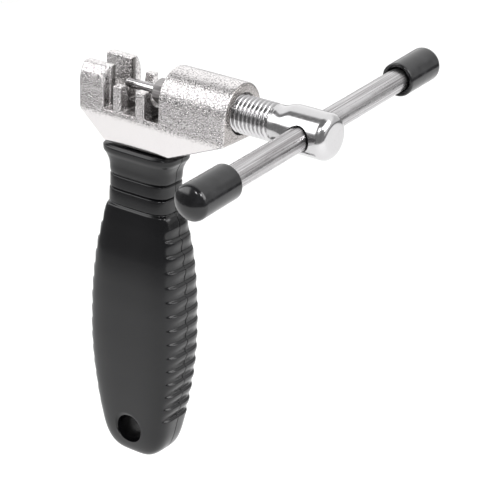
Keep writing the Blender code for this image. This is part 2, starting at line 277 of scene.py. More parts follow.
def add_node(
    tree: bpy.types.NodeTree, kind: str, settings: dict, inputs: dict | tuple
) -> bpy.types.bpy_prop_collection:
    """Adds a node with its settings, values and links.

    Args:
        tree: the node tree.
        kind: the node's Blender type, after "ShaderNode".
        settings: its own properties.
        inputs: a value, or the socket that feeds it, for each input in order or by name or number.

    Returns:
        The node's outputs.
    """
    node = tree.nodes.new("ShaderNode" + kind)
    for key, value in settings.items():
        setattr(node, key, value)
    for key, value in inputs.items() if isinstance(inputs, dict) else enumerate(inputs):
        if isinstance(value, bpy.types.NodeSocket):
            tree.links.new(value, node.inputs[key])
        else:
            node.inputs[key].default_value = value
    return node.outputs


@dataclass(frozen=True)
class Finish:
    """A surface finish: what the piece is made of and how its surface was made."""

    name: str
    slot: str
    colour: str
    metallic: float
    roughness: float

    def material(self) -> bpy.types.Material:
        """Builds the material, once.

        Returns:
            The material, new or made before.
        """
        made = bpy.data.materials.get(self.name)
        if made:
            return made
        made = bpy.data.materials.new(self.name)
        made.use_nodes = True
        tree = made.node_tree
        shader = tree.nodes["Principled BSDF"]
        shader.inputs["Base Color"].default_value = linear(self.colour)
        shader.inputs["Metallic"].default_value = self.metallic
        shader.inputs["Roughness"].default_value = self.roughness
        self.dress(tree, shader)
        return made

    def dress(self, tree: bpy.types.NodeTree, shader: bpy.types.Node) -> None:
        """Adds this finish's own pattern nodes. The plain finish has none."""

    def pattern(
        self, tree: bpy.types.NodeTree, rates: tuple, detail: float, turn: float = 0.0
    ) -> bpy.types.NodeSocket:
        """Lays an uneven pattern over the piece, fixed to it.

        Args:
            tree: the material's nodes.
            rates: repeats for each metre along X, Y and Z.
            detail: how many finer layers it has.
            turn: a turn about X before scaling, in radians.

        Returns:
            The socket with the pattern, around a half.
        """
        point = add_node(tree, "TexCoord", {}, ())
        turned_point = add_node(tree, "Mapping", {}, {"Vector": point["Object"], "Rotation": (turn, 0.0, 0.0)})
        scaled = add_node(tree, "Mapping", {}, {"Vector": turned_point[0], "Scale": rates})
        inputs = {"Vector": scaled[0], "Scale": 1.0, "Detail": detail, "Roughness": 0.5}
        return add_node(tree, "TexNoise", {}, inputs)["Fac"]

    def vary(
        self, tree: bpy.types.NodeTree, shader: bpy.types.Node, cloud: bpy.types.NodeSocket, change: tuple
    ) -> None:
        """Makes the gloss uneven.

        Args:
            tree: the material's nodes.
            shader: the shader whose roughness it feeds.
            cloud: the pattern it follows.
            change: the pattern's low and high value, and what each adds to the roughness.
        """
        low, high, less, more = change
        values = (cloud, low, high, self.roughness + less, self.roughness + more)
        tree.links.new(add_node(tree, "MapRange", EASED, values)[0], shader.inputs["Roughness"])

    def shade(
        self, tree: bpy.types.NodeTree, shader: bpy.types.Node, cloud: bpy.types.NodeSocket, colours: tuple
    ) -> None:
        """Runs the colour from one to another along a pattern.

        Args:
            tree: the material's nodes.
            shader: the shader whose colour it feeds.
            cloud: the pattern it follows.
            colours: the pattern's low and high value, and the sRGB hex colour at each.
        """
        low, high, first, last = colours
        share = add_node(tree, "MapRange", EASED, (cloud, low, high, 0.0, 1.0))
        mixed = add_node(tree, "Mix", COLOURS, {0: share[0], 6: linear(first), 7: linear(last)})
        tree.links.new(mixed[2], shader.inputs["Base Color"])

    def relief(self, tree: bpy.types.NodeTree, shader: bpy.types.Node, heights: list) -> None:
        """Raises the surface by each pattern in turn.

        Args:
            tree: the material's nodes.
            shader: the shader whose normal it feeds.
            heights: (height socket, depth in metres) pairs, coarse ones first.
        """
        normal = {}
        for height, depth in heights:
            bump = add_node(tree, "Bump", {}, {"Height": height, "Distance": depth, "Strength": 1.0, **normal})
            normal = {"Normal": bump[0]}
        tree.links.new(normal["Normal"], shader.inputs["Normal"])


@dataclass(frozen=True)
class PlatedCasting(Finish):
    """Zinc-nickel plated casting, tumbled and shot-blasted before plating.

    The plating follows the blasted skin, so the curves break into bright and dark specks
    where they turn from the bright floor to the dark side of the room. The chain slots' walls
    and floors carry painted shade: their colour is drawn a dark grey.
    """

    grain_size: float = 0.50 * MM  # the real grain is about half this, too fine to show
    face_x: float = -27.5 * MM
    ridge_z: float = RIDGE_Z
    pit_depth: float = 0.075 * MM
    texture_depth: float = 0.035 * MM
    rubbed_top: tuple = (0.62, 0.90, 1.0, 0.35)  # upward faces are rubbed smoother by use
    slot_depth_y: tuple = (4.4 * MM, 5.6 * MM)  # where the slots' painted shade ends, short of the flanks
    slot_top: tuple = (-2.0 * MM, 1.0 * MM)
    slot_bottom: tuple = (-12.5 * MM, -11.5 * MM)
    pit_colour: str = "9c9999"
    # painted shade: the dark grey that colours the chain slots' walls and floors
    slot_shade_colour: str = "54514f"
    sawn_colour: str = "a8a4a2"

    def colour_skin(
        self, tree: bpy.types.NodeTree, grain: bpy.types.NodeSocket, blasted: bpy.types.NodeSocket
    ) -> bpy.types.NodeSocket:
        """Colours the specks, the painted shade in the slots and the sawn end face.

        Args:
            tree: the material's nodes.
            grain: the blasted grain.
            blasted: how much grain each place has.

        Returns:
            The socket with the colour.
        """
        point = add_node(tree, "TexCoord", {}, ())
        facing = add_node(tree, "SeparateXYZ", {}, (point["Normal"],))
        where = add_node(tree, "SeparateXYZ", {}, (point["Object"],))
        specks = add_node(tree, "MapRange", EASED, (grain, 0.36, 0.48, 0.0, 1.0))
        speck = add_node(tree, "Mix", COLOURS, {0: specks[0], 6: linear(self.pit_colour), 7: linear(self.colour)})
        skin = add_node(tree, "Mix", COLOURS, {0: blasted, 6: linear(self.colour), 7: speck[2]})
        # painted shade: near the middle, within the slots' band of height and on faces looking towards +X, the
        # colour runs to the dark slot colour
        below = add_node(tree, "MapRange", EASED, (where[2], *self.slot_top, 0.8, 0.0))
        above = add_node(tree, "MapRange", EASED, (where[2], *self.slot_bottom, 0.0, 1.0))
        sunk = add_node(tree, "Math", TIMES, (below[0], above[0]))
        walls = add_node(tree, "MapRange", EASED, (facing[0], 0.3, 0.8, 0.0, 0.9))
        hidden = add_node(tree, "Math", {"operation": "MAXIMUM"}, (sunk[0], walls[0]))
        off_centre = add_node(tree, "Math", {"operation": "ABSOLUTE"}, (where[1],))
        core = add_node(tree, "MapRange", EASED, (off_centre[0], *self.slot_depth_y, 1.0, 0.0))
        inside = add_node(tree, "Math", TIMES, (core[0], hidden[0]))
        slot_shaded = add_node(tree, "Mix", COLOURS, {0: inside[0], 6: skin[2], 7: linear(self.slot_shade_colour)})
        outward = add_node(tree, "MapRange", EASED, (facing[0], 0.70, 0.95, 0.0, 1.0))
        face_edge = (self.face_x - 0.5 * MM, self.face_x - 0.2 * MM)
        at_face = add_node(tree, "MapRange", EASED, (where[0], *face_edge, 0.0, 1.0))
        sawn = add_node(tree, "Math", TIMES, (outward[0], at_face[0]))
        return add_node(tree, "Mix", COLOURS, {0: sawn[0], 6: slot_shaded[2], 7: linear(self.sawn_colour)})[2]

    def dress(self, tree: bpy.types.NodeTree, shader: bpy.types.Node) -> None:
        """Adds the blasted grain, smoother on the keel, the painted shade in the slots and the duller end face.

        Args:
            tree: the material's nodes.
            shader: its shader.
        """
        rate = 1 / self.grain_size
        coarse = self.pattern(tree, (rate, rate, rate), 2.0)
        fine = self.pattern(tree, (2.7 * rate, 2.7 * rate, 2.7 * rate), 1.0)
        point = add_node(tree, "TexCoord", {}, ())
        facing = add_node(tree, "SeparateXYZ", {}, (point["Normal"],))
        where = add_node(tree, "SeparateXYZ", {}, (point["Object"],))
        keel_edge = (self.ridge_z - 1.4 * MM, self.ridge_z + 0.6 * MM)
        blasted = add_node(tree, "MapRange", EASED, (where[2], *keel_edge, 0.05, 1.0))[0]
        tree.links.new(self.colour_skin(tree, coarse, blasted), shader.inputs["Base Color"])
        self.vary(tree, shader, self.pattern(tree, (160.0, 160.0, 160.0), 2.0), (0.3, 0.7, -0.04, 0.05))
        pits = add_node(tree, "MapRange", EASED, (coarse, 0.38, 0.56, 0.0, 1.0))
        rubbed = add_node(tree, "MapRange", EASED, (facing[2], *self.rubbed_top))
        kept = add_node(tree, "Math", TIMES, (blasted, rubbed[0]))
        skin = add_node(tree, "Math", TIMES, (pits[0], kept[0]))
        texture = add_node(tree, "Math", TIMES, (fine, blasted))
        self.relief(tree, shader, [(skin[0], self.pit_depth), (texture[0], self.texture_depth)])


@dataclass(frozen=True)
class MouldedPlastic(Finish):
    """Black glass-filled nylon, moulded in a finely spark-eroded tool.

    The fine texture spreads every highlight into a soft grey sheen.
    """

    grain_size: float = 0.30 * MM  # the real texture is about 0.1 mm, too fine to show
    texture_depth: float = 0.004 * MM
    flow_colour: str = "101012"
    specular: float = 0.38

    def dress(self, tree: bpy.types.NodeTree, shader: bpy.types.Node) -> None:
        """Adds the fine texture and the slow change of gloss of a moulding.

        Args:
            tree: the material's nodes.
            shader: its shader.
        """
        shader.inputs["Specular IOR Level"].default_value = self.specular
        rate = 1 / self.grain_size
        flow = self.pattern(tree, (45.0, 45.0, 22.0), 2.0)
        self.shade(tree, shader, flow, (0.3, 0.7, self.colour, self.flow_colour))
        self.vary(tree, shader, flow, (0.3, 0.7, -0.03, 0.05))
        self.relief(tree, shader, [(self.pattern(tree, (rate, rate, rate), 1.0), self.texture_depth)])


@dataclass(frozen=True)
class TurnedSteel(Finish):
    """Nickel-plated steel, turned and rolled to its thread.

    Fine rings from the tool draw each highlight out round the axis, and the thread's roots
    are coloured darker.
    """

    ring_size: float = 0.22 * MM  # the real feed marks are about 0.08 mm, too fine to show
    root_radius: float = 4.30 * MM
    crest_radius: float = 4.62 * MM
    thread_end: tuple = (-17.8 * MM, -16.7 * MM)
    ring_depth: float = 0.004 * MM
    # the share by which the thread's roots are coloured darker
    root_darkening: float = 0.45
    root_colour: str = "454342"

    def dress(self, tree: bpy.types.NodeTree, shader: bpy.types.Node) -> None:
        """Adds the turning rings, the darker colour in the roots and a little wear on the crests.

        Args:
            tree: the material's nodes.
            shader: its shader.
        """
        point = add_node(tree, "TexCoord", {}, ())
        radial = add_node(tree, "VectorMath", TIMES, (point["Object"], (0.0, 1.0, 1.0)))
        radius = add_node(tree, "VectorMath", {"operation": "LENGTH"}, (radial[0],))
        along = add_node(tree, "SeparateXYZ", {}, (point["Object"],))
        threaded = add_node(tree, "MapRange", EASED, (along[0], *self.thread_end, 1.0, 0.0))
        thread = (self.root_radius, self.crest_radius)
        # colours the thread's roots darker, along the threaded length only
        rooted = add_node(tree, "MapRange", EASED, (radius["Value"], *thread, self.root_darkening, 0.0))
        darkened_roots = add_node(tree, "Math", TIMES, (rooted[0], threaded[0]))
        steel = {0: darkened_roots[0], 6: linear(self.colour), 7: linear(self.root_colour)}
        tree.links.new(add_node(tree, "Mix", COLOURS, steel)[2], shader.inputs["Base Color"])
        self.vary(tree, shader, self.pattern(tree, (900.0, 900.0, 900.0), 3.0), (0.35, 0.7, -0.03, 0.07))
        rings = self.pattern(tree, (1 / self.ring_size, 60.0, 60.0), 2.0)
        self.relief(tree, shader, [(rings, self.ring_depth)])


@dataclass(frozen=True)
class DrawnSteel(Finish):
    """Bright drawn steel rod, polished along its length.

    Fine draw lines run the whole length and break the reflections into streaks.
    """

    line_size: float = 0.28 * MM  # the real lines are finer than this, too fine to show
    line_depth: float = 0.022 * MM
    line_colour: str = "827f80"
    tilt: float = 0.0
    along_x: bool = False

    def dress(self, tree: bpy.types.NodeTree, shader: bpy.types.Node) -> None:
        """Adds the draw lines to colour, gloss and relief.

        Args:
            tree: the material's nodes.
            shader: its shader.
        """
        rate = 1 / self.line_size
        rates = (25.0, rate, rate) if self.along_x else (rate, 25.0, rate)
        lines = self.pattern(tree, rates, 3.0, -self.tilt)
        self.shade(tree, shader, lines, (0.32, 0.68, self.line_colour, self.colour))
        self.vary(tree, shader, self.pattern(tree, (700.0, 300.0, 700.0), 3.0), (0.35, 0.7, -0.03, 0.08))
        self.relief(tree, shader, [(lines, self.line_depth)])


@dataclass(frozen=True)
class DippedVinyl(Finish):
    """Black PVC, dip-moulded over a mandrel and pushed on.

    The dipped skin is glossy with a faint orange peel, and handling has dulled it a little.
    """

    peel_size: float = 1.3 * MM
    peel_depth: float = 0.012 * MM
    dull_colour: str = "1a1a1c"

    def dress(self, tree: bpy.types.NodeTree, shader: bpy.types.Node) -> None:
        """Adds the orange peel and the patches dulled by handling.

        Args:
            tree: the material's nodes.
            shader: its shader.
        """
        rate = 1 / self.peel_size
        dull = self.pattern(tree, (260.0, 260.0, 260.0), 3.0)
        self.shade(tree, shader, dull, (0.35, 0.7, self.colour, self.dull_colour))
        self.vary(tree, shader, dull, (0.35, 0.7, -0.04, 0.08))
        self.relief(tree, shader, [(self.pattern(tree, (rate, rate, rate), 1.0), self.peel_depth)])


# pale warm grey: clean bright tops and keel, speckled curves, painted shade in the slots
CASTING = PlatedCasting("plated_blasted_casting", "cast_plated", "d6d3d3", 1.0, 0.17)
# near black, with a soft grey sheen down each curve
HANDLE_PLASTIC = MouldedPlastic("moulded_black_nylon", "handle_plastic", "08080a", 0.0, 0.21)
# clear bright and dark bands round the head, and dark roots between bright crests
SPINDLE_STEEL = TurnedSteel("turned_plated_steel", "spindle_steel", "bebdbe", 1.0, 0.16)
# milled flats and a duller grey than the thread beside it
HOLDER_STEEL = DrawnSteel("milled_hexagon_steel", "holder_steel", "a5a3a2", 1.0, 0.34, along_x=True)
# the brightest steel, with one clean line of light along it
PIN_STEEL = DrawnSteel("ground_pin_steel", "pin_steel", "e4e3e3", 1.0, 0.20, along_x=True)
# satin steel, streaked from end to end
BAR_STEEL = DrawnSteel("drawn_bar_steel", "bar_steel", "bfbebf", 1.0, 0.27, tilt=BAR_TILT)
# deep black with small soft-edged highlights
CAP_VINYL = DippedVinyl("dipped_black_vinyl", "cap_vinyl", "08080a", 0.0, 0.17)


# ---------------------------------------------------------------------------- the cast head


@dataclass
class CastHead:
    """The one-piece casting: anvil, two chain ribs, barrel, keel and the tang in the handle."""

    face: float
    length: float = 47.0 * MM
    half_width: float = 8.1 * MM
    ridge_z: float = RIDGE_Z
    keel_z: float = -15.9 * MM
    keel_half_width: float = 5.3 * MM
    keel_ends: tuple = (-40.7 * MM, -20.0 * MM)
    rounding: float = 0.7 * MM
    anvil_inner: float = -38.3 * MM
    barrel_inner: float = -20.8 * MM
    slots: tuple = ((-38.3 * MM, -35.7 * MM), (-33.1 * MM, -28.3 * MM), (-25.4 * MM, -20.8 * MM))
    slot_floor_z: float = -5.5 * MM
    rib_top_z: float = 1.5 * MM
    notch_radius: float = 5.65 * MM
    notch_z: float = 1.45 * MM
    anvil_top_z: float = 5.4 * MM
    trough_half_width: float = 3.3 * MM
    pad_half_width: float = 5.4 * MM
    pad_step: float = 0.5 * MM
    tang_x: tuple = (-36.6 * MM, -24.6 * MM)
    tang_half_width: float = 2.2 * MM
    tang_bottom_z: float = -58.0 * MM
    tang_holes: tuple = ((-30.0 * MM, 2.6 * MM), (-50.0 * MM, 2.6 * MM))
    bore_radius: float = 5.12 * MM
    mouth_radius: float = 5.6 * MM
    voxel: float = 0.25 * MM
    waves: tuple = (800.0, 1500.0)  # the skin's unevenness, in swells for each metre
    wave_height: float = 0.006 * MM
    wave_sink: float = 0.004 * MM

    def blank(self) -> bpy.types.Object:
        """Makes the casting's outside: round top, flat sides and tapered keel.

        Returns:
            The solid, with its edges rounded.
        """
        steps = 64
        angle = np.linspace(0, np.pi, steps + 1)
        section = [(self.half_width, self.ridge_z)]
        section += [(self.half_width * math.cos(a), self.half_width * math.sin(a)) for a in angle]
        section += [(-self.half_width, self.ridge_z)]
        count = len(section)
        left, right = self.face - self.length, self.face
        points = [(x, y, z) for x in (left, right) for y, z in section]
        keel_x = [self.face + end for end in self.keel_ends]
        points += [(x, y, self.keel_z) for x in keel_x for y in (self.keel_half_width, -self.keel_half_width)]
        faces = [(i, i + 1, count + i + 1, count + i) for i in range(count - 1)]
        keel, last = 2 * count, count - 1
        faces += [tuple(range(count)), tuple(range(count, 2 * count))]
        faces += [(0, count, keel + 2, keel), (last, count + last, keel + 3, keel + 1)]
        faces += [(0, last, keel + 1, keel), (count, count + last, keel + 3, keel + 2)]
        faces += [(keel, keel + 1, keel + 3, keel + 2)]
        body = mesh_object("tool_body_cast", np.array(points), faces)
        step = body.modifiers.new("rounding", "BEVEL")
        step.width, step.segments = self.rounding, 4
        step.limit_method, step.angle_limit = "ANGLE", math.radians(25)
        settle(body)
        return body

    def cut_slots(self, body: bpy.types.Object) -> None:
        """Cuts the chain bay, its slots, the roller notch and the anvil's trough.

        Args:
            body: the casting.
        """
        inner = self.face + self.anvil_inner
        combine(body, block("bay", (inner, -FAR, self.rib_top_z), (self.face + self.barrel_inner, FAR, FAR)))
        for low, high in self.slots:
            combine(body, block("slot", (self.face + low, -FAR, self.slot_floor_z), (self.face + high, FAR, FAR)))
        for side in (-1, 1):
            edges = sorted((side * self.pad_half_width, side * FAR))
            low = (inner - self.pad_step, edges[0], self.slot_floor_z)
            combine(body, block("step", low, (inner + MM, edges[1], FAR)))
        combine(body, block("anvil_top", (self.face - 0.1, -FAR, self.anvil_top_z), (inner + MM, FAR, FAR)))
        notch = turned("notch", [(inner, self.notch_radius), (self.face + self.barrel_inner, self.notch_radius)], 96)
        notch.data.transform(Matrix.Translation((0, 0, self.notch_z)))
        combine(body, notch)
        outside = self.face - self.length - 2 * MM
        half = self.trough_half_width
        combine(body, turned("trough", [(outside, half), (inner + MM, half)], 96))
        combine(body, block("trough_top", (outside, -half, 0.0), (inner + MM, half, FAR)))

    def soften(self, body: bpy.types.Object) -> None:
        """Gives every edge the soft rounding of a casting and the skin its slight unevenness.

        Args:
            body: the casting.
        """
        remesh = body.modifiers.new("skin", "REMESH")
        remesh.mode, remesh.voxel_size = "VOXEL", self.voxel
        melt = body.modifiers.new("melt", "SMOOTH")
        melt.factor, melt.iterations = 0.5, 5
        settle(body)
        mesh = body.data
        points = np.empty(len(mesh.vertices) * 3, np.float32)
        normals = np.empty(len(mesh.vertices) * 3, np.float32)
        mesh.vertices.foreach_get("co", points)
        mesh.vertex_normals.foreach_get("vector", normals)
        points, normals = points.reshape(-1, 3), normals.reshape(-1, 3)
        broad, fine = self.waves
        spots = [Vector(p) for p in points.tolist()]
        height = np.array([noise.noise(p * broad) + 0.7 * noise.noise(p * fine) for p in spots])
        points += normals * (height[:, None] * self.wave_height - self.wave_sink)
        mesh.vertices.foreach_set("co", points.reshape(-1))
        mesh.update()

    def build(self) -> None:
        """Builds, machines and dresses the casting."""
        body = self.blank()
        tang = block(
            "tang",
            (self.face + self.tang_x[0], -self.tang_half_width, self.tang_bottom_z),
            (self.face + self.tang_x[1], self.tang_half_width, -14.0 * MM),
        )
        combine(body, tang, Cut.JOIN)
        self.cut_slots(body)
        middle = self.face + sum(self.tang_x) / 2
        for height, radius in self.tang_holes:
            combine(body, across(turned("hole", [(-10 * MM, radius), (10 * MM, radius)], 48), middle, height))
        self.soften(body)
        bore = [(self.face + self.barrel_inner - MM, self.bore_radius), (self.face - 0.7 * MM, self.bore_radius)]
        mouth = self.mouth_radius
        bore += [(self.face - 0.1 * MM, mouth - 0.05 * MM), (self.face + MM, mouth + 0.4 * MM)]
        combine(body, turned("bore", bore, 96))
        place(body, Body.FRAME, "tool_body", CASTING, 50.0)


# ---------------------------------------------------------------------------- the handle


def smooth_curve(at: np.ndarray, knots: np.ndarray, values: np.ndarray) -> np.ndarray:
    """Follows a table with a smooth curve that never overshoots it.

    Args:
        at: where to read the curve.
        knots: the table's places, rising.
        values: the table's values.

    Returns:
        The curve's value at each place.
    """
    gap = np.diff(knots)
    rise = np.diff(values) / gap
    slope = np.zeros_like(values)
    same = rise[:-1] * rise[1:] > 0
    first, second = 2 * gap[1:] + gap[:-1], gap[1:] + 2 * gap[:-1]
    with np.errstate(divide="ignore", invalid="ignore"):
        blend = (first + second) / (first / rise[:-1] + second / rise[1:])
    slope[1:-1] = np.where(same, blend, 0.0)
    slope[0], slope[-1] = rise[0], rise[-1]
    index = np.clip(np.searchsorted(knots, at) - 1, 0, len(gap) - 1)
    t = (at - knots[index]) / gap[index]
    h = gap[index]
    start = (1 + 2 * t) * (1 - t) ** 2 * values[index] + t * (1 - t) ** 2 * h * slope[index]
    return start + t**2 * (3 - 2 * t) * values[index + 1] + t**2 * (t - 1) * h * slope[index + 1]


@dataclass
class Handle:
    """Two moulded half shells that close round the casting's tang."""

    x: float
    outline: tuple = (
        (-16.3, 22.4, 12.4), (-16.9, 23.4, 13.4), (-17.9, 23.3, 13.3), (-19.4, 21.6, 12.2), (-21.4, 20.0, 11.4),
        (-24.1, 19.4, 11.0), (-24.5, 18.5, 10.1), (-24.9, 19.5, 11.1), (-28.0, 19.5, 11.2), (-28.4, 18.6, 10.3),
        (-28.8, 19.7, 11.4), (-32.3, 19.9, 11.6), (-32.8, 19.2, 10.9), (-33.4, 20.8, 12.0), (-36.0, 22.6, 13.0),
        (-40.0, 24.4, 14.0), (-47.0, 27.0, 15.6), (-55.0, 28.6, 16.6), (-62.0, 29.4, 17.0), (-70.0, 29.6, 17.0),
        (-77.0, 29.0, 16.7), (-82.0, 28.1, 16.2), (-87.0, 26.7, 15.6), (-92.0, 25.2, 14.8), (-96.5, 23.2, 14.0),
        (-100.5, 21.2, 13.2), (-103.5, 18.6, 12.2), (-105.6, 15.0, 10.8), (-107.0, 10.4, 8.2), (-107.6, 5.0, 4.0),
    )  # fmt: skip
    hollow: tuple = (
        (-62.0, 20.0, 9.0),
        (-66.0, 23.4, 11.8),
        (-78.0, 22.8, 11.4),
        (-86.0, 20.6, 10.2),
        (-90.0, 16.0, 7.0),
    )
    grip_top: float = -36.0
    grip_pitch: float = 4.15
    grip_grooves: int = 14
    grip_depth: float = 0.68
    groove_in: tuple = (0.06, 0.66)  # where a groove starts to sink, as a share of the pitch, and for how long
    groove_out: tuple = (0.78, 0.16)
    groove_corner: tuple = (0.84, 0.14)  # where the grooves start, as a share of the half width, and their fade
    columns: int = 90
    tang_x: tuple = (-36.9 * MM, -24.3 * MM)
    pocket_half_width: float = 2.5 * MM
    pocket_bottom: float = -64.0 * MM
    bosses: tuple = (-30.0 * MM, -50.0 * MM)
    boss_radius: float = 2.3 * MM
    hole_z: float = -99.0 * MM
    hole_radius: float = 4.0 * MM
    hole_rim: float = 0.9 * MM

    def heights(self) -> np.ndarray:
        """Gives the heights of the rings, close together where the form is fine.

        Returns:
            The heights, rising, in mm.
        """
        parts = [np.arange(-107.6, -100.0, 0.2), np.arange(-100.0, -94.5, 0.3), np.arange(-94.5, -36.0, 0.15)]
        parts += [np.arange(-36.0, -33.6, 0.2), np.arange(-33.6, -16.3, 0.12), np.array([-16.3])]
        return np.concatenate(parts)

    def groove(self, height: np.ndarray) -> np.ndarray:
        """Gives how deep the grip's scallops are: a soft way in and a crisp way out.

        Args:
            height: heights on the handle, in mm.

        Returns:
            The depth at each height, in mm.
        """
        t = (self.grip_top - height) / self.grip_pitch
        phase = t % 1.0
        into = np.clip((phase - self.groove_in[0]) / self.groove_in[1], 0, 1)
        out = np.clip((phase - self.groove_out[0]) / self.groove_out[1], 0, 1)
        depth = into**2 * (3 - 2 * into) * (1 - out**2 * (3 - 2 * out))
        inside = (t > 0) & (t < self.grip_grooves)
        return np.where(inside, depth * self.grip_depth, 0.0)

    def half_section(self) -> tuple:
        """Gives the half section's outline, evenly spaced round it.

        Returns:
            Its shares of the half width and of the half depth.
        """
        angle = np.linspace(0, np.pi, 4001)
        wide = np.sign(np.cos(angle)) * np.abs(np.cos(angle)) ** 0.5
        deep = np.abs(np.sin(angle)) ** 0.5
        run = np.concatenate([[0], np.cumsum(np.hypot(np.diff(wide) * 14.8, np.diff(deep) * 8.5))])
        keep = deep > 0.05
        run, wide, deep = run[keep], wide[keep], deep[keep]
        even = np.linspace(run[0], run[-1], self.columns)
        return np.interp(even, run, wide), np.interp(even, run, deep)

    def shell_blank(self, name: str, side: int) -> bpy.types.Object:
        """Lofts one half of the handle with its rings, scallops and eased parting edge.

        Args:
            name: the shell's name.
            side: -1 for the front and 1 for the back.

        Returns:
            The solid half.
        """
        height = self.heights()
        table = np.array(self.outline)[::-1]
        half_wide = smooth_curve(height, table[:, 0], table[:, 1]) / 2
        half_deep = smooth_curve(height, table[:, 0], table[:, 2]) / 2
        wide, deep = self.half_section()
        start, fade = self.groove_corner
        weight = np.clip((np.abs(wide) - start) / fade, 0, 1)
        weight = weight**2 * (3 - 2 * weight)
        groove = self.groove(height)
        x = wide * (half_wide[:, None] - groove[:, None] * weight)
        y = deep * half_deep[:, None]
        lips_x, lips_y = [], []
        for away, inset in ((0.06, 0.20), (0.10, 0.08), (0.20, 0.0)):
            lips_x.append(half_wide - groove - inset)
            lips_y.append(np.minimum(away, away / 7.0 * half_deep))
        lip_x, lip_y = np.stack(lips_x, axis=1), np.stack(lips_y, axis=1)
        x = np.concatenate([lip_x, x, -lip_x[:, ::-1]], axis=1)
        y = np.concatenate([lip_y, y, lip_y[:, ::-1]], axis=1)
        rings = np.empty((*x.shape, 3))
        rings[..., 0] = self.x + x * MM
        rings[..., 1] = side * y * MM
        rings[..., 2] = height[:, None] * MM
        return loft(name, rings)

    def hollow_core(self) -> bpy.types.Object:
        """Makes the core that leaves the shells hollow.

        Returns:
            The core, as a solid for cutting.
        """
        angle = np.linspace(0, 2 * np.pi, 64, endpoint=False) + 0.01
        wide = np.sign(np.cos(angle)) * np.abs(np.cos(angle)) ** 0.5
        deep = np.sign(np.sin(angle)) * np.abs(np.sin(angle)) ** 0.5
        rings = []
        for z, width, depth in self.hollow:
            ring = [self.x + wide * width / 2 * MM, deep * depth / 2 * MM, np.full(64, z * MM)]
            rings.append(np.stack(ring, axis=1))
        return loft("core", np.array(rings))

    def hole_cutter(self) -> bpy.types.Object:
        """Makes the hang hole's cutter, flared so that it leaves a rounded rim.

        Returns:
            The cutter, through both shells.
        """
        deep = 6.85 * MM
        rim, radius = self.hole_rim, self.hole_radius
        turns = np.radians(np.linspace(0, 75, 8))
        flare = [(deep - rim + rim * math.sin(a), radius + rim * (1 - math.cos(a))) for a in turns]
        flare.append((deep + 2 * MM, flare[-1][1] + 3 * MM))
        profile = [(-x, r) for x, r in flare[::-1]] + flare
        return across(turned("hang_hole", profile, 96), self.x, self.hole_z)

    def build_shell(self, name: str, side: int, node: str, face: float) -> None:
        """Builds and dresses one shell.

        Args:
            name: the shell's name.
            side: -1 for the front and 1 for the back.
            node: its CAD node.
            face: the barrel's open face, from which the tang is placed.
        """
        shell = self.shell_blank(name, side)
        combine(shell, self.hollow_core())
        low = (face + self.tang_x[0], -self.pocket_half_width, self.pocket_bottom)
        combine(shell, block("pocket", low, (face + self.tang_x[1], self.pocket_half_width, 0.0)))
        for height in self.bosses:
            ends = sorted((side * 0.1 * MM, side * (self.pocket_half_width + 0.7 * MM)))
            boss = turned("boss", [(ends[0], self.boss_radius), (ends[1], self.boss_radius)], 48)
            combine(shell, across(boss, self.x, height), Cut.JOIN)
        combine(shell, self.hole_cutter())
        place(shell, Body.FRAME, node, HANDLE_PLASTIC, 50.0)

    def build(self, face: float) -> None:
        """Builds the front and back shells on the tang.

        Args:
            face: the barrel's open face, from which the tang is placed.
        """
        self.build_shell("handle_front_shell", -1, "handle_front", face)
        self.build_shell("handle_back_shell", 1, "handle_back", face)


# ---------------------------------------------------------------------------- the screw


